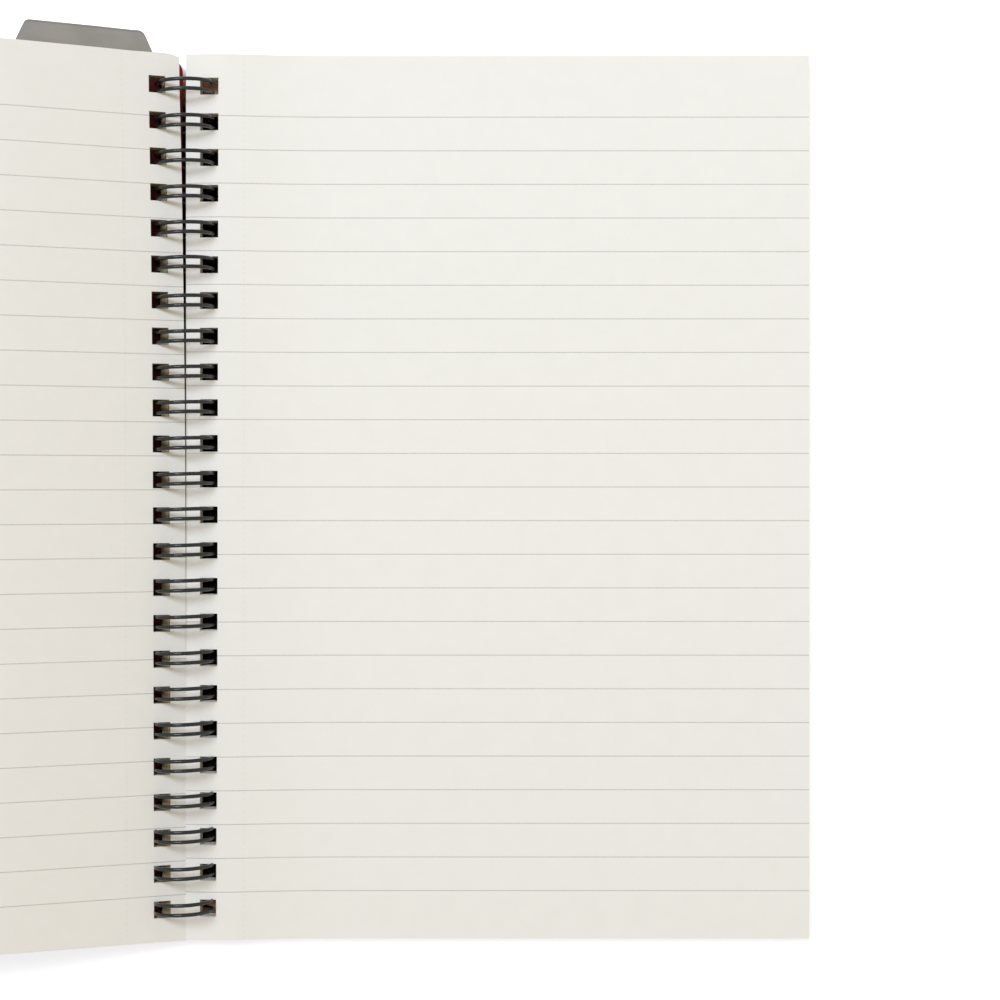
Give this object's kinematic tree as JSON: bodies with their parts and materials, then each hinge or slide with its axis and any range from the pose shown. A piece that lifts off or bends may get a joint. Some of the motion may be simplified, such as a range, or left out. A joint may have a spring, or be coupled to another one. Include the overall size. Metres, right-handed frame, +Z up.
{
  "type": "open spiral notebook",
  "caption": "Open ruled A5 notebook with a twin-loop wire binding, flat right pages, arched left pages and a tabbed divider among them.",
  "frame": {"origin": "on the table surface, under the wire binding, midway along the open notebook", "axes": "+X to the right across the open pages, +Y along the spine to the top of the pages, +Z up from the table"},
  "size_m": [0.2964, 0.215, 0.0291],
  "materials": {
    "paper_right": "matte",
    "paper_left": "matte",
    "cover": "satin",
    "divider": "satin",
    "wire": "satin"
  },
  "bodies": {
    "base": {"back_cover": "cover", "wire_binding": "wire"},
    "right_block": {"right_pages": "paper_right"},
    "front_board": {"front_cover": "cover"},
    "left_lower_block": {"left_pages_lower": "paper_left"},
    "divider_sheet": {"divider": "divider"},
    "left_upper_block": {"left_pages_upper": "paper_left"}
  },
  "joints": [
    {"name": "right_pages_turn", "type": "hinge", "parent": "base", "child": "right_block", "pos_m": [0, -0.00215, 0.00715], "axis": [0, -1, 0], "range_deg": [0, 15]},
    {"name": "front_cover_turn", "type": "hinge", "parent": "base", "child": "front_board", "pos_m": [0, -0.00215, 0.00715], "axis": [0, 1, 0], "range_deg": [0, 90]},
    {"name": "left_lower_turn", "type": "hinge", "parent": "front_board", "child": "left_lower_block", "pos_m": [0, -0.00215, 0.00715], "axis": [0, 1, 0], "range_deg": [0, 15]},
    {"name": "divider_turn", "type": "hinge", "parent": "left_lower_block", "child": "divider_sheet", "pos_m": [0, -0.00215, 0.00715], "axis": [0, 1, 0], "range_deg": [0, 12]},
    {"name": "left_upper_turn", "type": "hinge", "parent": "divider_sheet", "child": "left_upper_block", "pos_m": [0, -0.00215, 0.00715], "axis": [0, 1, 0], "range_deg": [0, 15]}
  ]
}
